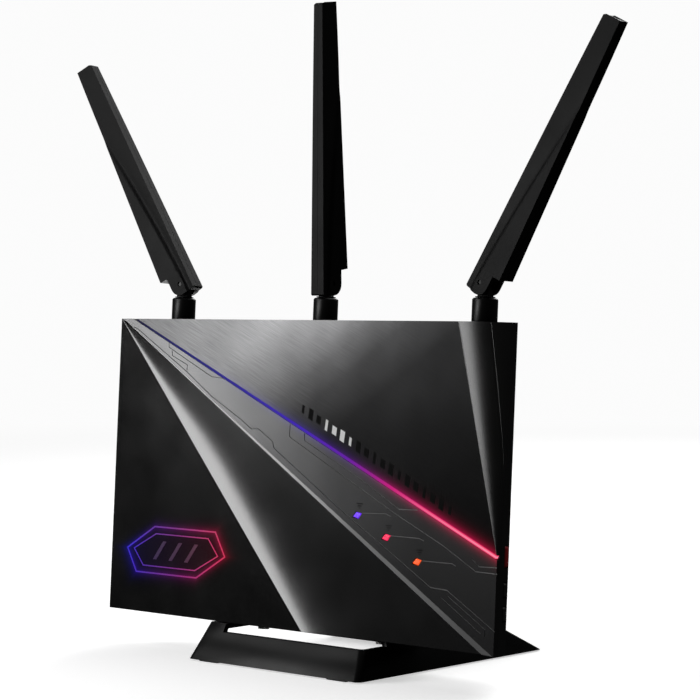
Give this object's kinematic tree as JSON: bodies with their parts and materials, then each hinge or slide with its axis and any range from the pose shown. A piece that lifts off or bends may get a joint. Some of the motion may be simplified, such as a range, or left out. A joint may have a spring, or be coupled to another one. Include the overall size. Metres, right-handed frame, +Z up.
{
  "type": "wireless router",
  "caption": "Upright slab wireless router on an open loop stand, with hinged antennas, a glowing diagonal light bar, rear sockets and push buttons.",
  "frame": {"origin": "centre of the bounding box's bottom, on the table under the stand", "axes": "+X to the viewer's right when facing the front, +Y towards the rear sockets, +Z up"},
  "size_m": [0.345, 0.137, 0.3142],
  "materials": {
    "gloss_black": "glossy moulded facets",
    "matte_black": "fine textured moulding",
    "port_plastic": "moulded",
    "brushed_plate": "brushed dark finish",
    "glow_plastic": "translucent light guide",
    "red_plastic": "moulded",
    "circuit_board": "solder resist",
    "aluminium": "extruded",
    "plated_steel": "plated",
    "gold_plated_brass": "plated",
    "thermal_pad": "soft pad",
    "rubber_foot": "matt"
  },
  "bodies": {
    "casing": {"front_panel": "gloss_black", "brushed_plate": "brushed_plate", "rear_housing": "matte_black", "light_bar": "glow_plastic", "emblem_lens": "glow_plastic", "status_lens_violet": "glow_plastic", "status_lens_rose": "glow_plastic", "status_lens_amber": "glow_plastic", "light_board": "circuit_board", "main_board": "circuit_board", "heat_sink": "aluminium", "thermal_pad": "thermal_pad", "shield_can": "plated_steel", "internal_antenna": "circuit_board", "wan_jack": "port_plastic", "lan_jack_block": "port_plastic", "usb_port_a": "plated_steel", "usb_port_b": "plated_steel", "dc_jack": "port_plastic", "stand": "matte_black", "stand_screw_1": "plated_steel", "stand_screw_2": "plated_steel", "case_screw_1": "plated_steel", "case_screw_2": "plated_steel", "case_screw_3": "plated_steel", "case_screw_4": "plated_steel", "foot_front_left": "rubber_foot", "foot_front_right": "rubber_foot", "foot_rear_left": "rubber_foot", "foot_rear_right": "rubber_foot", "jack_left": "gold_plated_brass", "jack_mid": "gold_plated_brass", "jack_right": "gold_plated_brass"},
    "nut_left": {"nut_left": "matte_black"},
    "swivel_left": {"swivel_left": "matte_black"},
    "blade_left": {"blade_front_left": "matte_black", "blade_back_left": "matte_black", "radiator_left": "circuit_board", "hinge_pin_left": "plated_steel"},
    "nut_mid": {"nut_mid": "matte_black"},
    "swivel_mid": {"swivel_mid": "matte_black"},
    "blade_mid": {"blade_front_mid": "matte_black", "blade_back_mid": "matte_black", "radiator_mid": "circuit_board", "hinge_pin_mid": "plated_steel"},
    "nut_right": {"nut_right": "matte_black"},
    "swivel_right": {"swivel_right": "matte_black"},
    "blade_right": {"blade_front_right": "matte_black", "blade_back_right": "matte_black", "radiator_right": "circuit_board", "hinge_pin_right": "plated_steel"},
    "boost_button": {"boost_button": "red_plastic"},
    "wps_button": {"wps_button": "port_plastic"},
    "wifi_button": {"wifi_button": "port_plastic"},
    "power_button": {"power_button": "port_plastic"},
    "reset_button": {"reset_button": "port_plastic"}
  },
  "joints": [
    {"name": "nut_spin_left", "type": "hinge", "parent": "casing", "child": "nut_left", "pos_m": [-0.0964, -0.03015, 0.16704], "axis": [0, 0.061, 0.9981], "continuous": true},
    {"name": "swivel_left", "type": "hinge", "parent": "casing", "child": "swivel_left", "pos_m": [-0.0964, -0.03015, 0.16704], "axis": [0, 0.061, 0.9981], "range_deg": [-96.4, 83.6]},
    {"name": "tilt_left", "type": "hinge", "parent": "swivel_left", "child": "blade_left", "pos_m": [-0.0964, -0.02934, 0.18021], "axis": [0.1115, -0.9919, 0.0607], "range_deg": [-33, 57]},
    {"name": "nut_spin_mid", "type": "hinge", "parent": "casing", "child": "nut_mid", "pos_m": [0, -0.03015, 0.16704], "axis": [0, 0.061, 0.9981], "continuous": true},
    {"name": "swivel_mid", "type": "hinge", "parent": "casing", "child": "swivel_mid", "pos_m": [0, -0.03015, 0.16704], "axis": [0, 0.061, 0.9981], "range_deg": [-35, 35]},
    {"name": "tilt_mid", "type": "hinge", "parent": "swivel_mid", "child": "blade_mid", "pos_m": [0, -0.02934, 0.18021], "axis": [-1, 0, 0], "range_deg": [0, 93.5]},
    {"name": "nut_spin_right", "type": "hinge", "parent": "casing", "child": "nut_right", "pos_m": [0.0964, -0.03015, 0.16704], "axis": [0, 0.061, 0.9981], "continuous": true},
    {"name": "swivel_right", "type": "hinge", "parent": "casing", "child": "swivel_right", "pos_m": [0.0964, -0.03015, 0.16704], "axis": [0, 0.061, 0.9981], "range_deg": [-83.6, 96.4]},
    {"name": "tilt_right", "type": "hinge", "parent": "swivel_right", "child": "blade_right", "pos_m": [0.0964, -0.02934, 0.18021], "axis": [0.1115, 0.9919, -0.0607], "range_deg": [-33, 57]},
    {"name": "boost_button_press", "type": "slide", "parent": "casing", "child": "boost_button", "axis": [-1, 0, 0], "range_m": [0, 0.0008], "stiffness_N_per_m": 400},
    {"name": "wps_button_press", "type": "slide", "parent": "casing", "child": "wps_button", "axis": [-1, 0, 0], "range_m": [0, 0.0008], "stiffness_N_per_m": 400},
    {"name": "wifi_button_press", "type": "slide", "parent": "casing", "child": "wifi_button", "axis": [-1, 0, 0], "range_m": [0, 0.0008], "stiffness_N_per_m": 400},
    {"name": "power_button_press", "type": "slide", "parent": "casing", "child": "power_button", "axis": [0, -0.9981, 0.061], "range_m": [0, 0.0018], "stiffness_N_per_m": 400},
    {"name": "reset_button_press", "type": "slide", "parent": "casing", "child": "reset_button", "axis": [0, -0.9981, 0.061], "range_m": [0, 0.0005], "stiffness_N_per_m": 400}
  ]
}
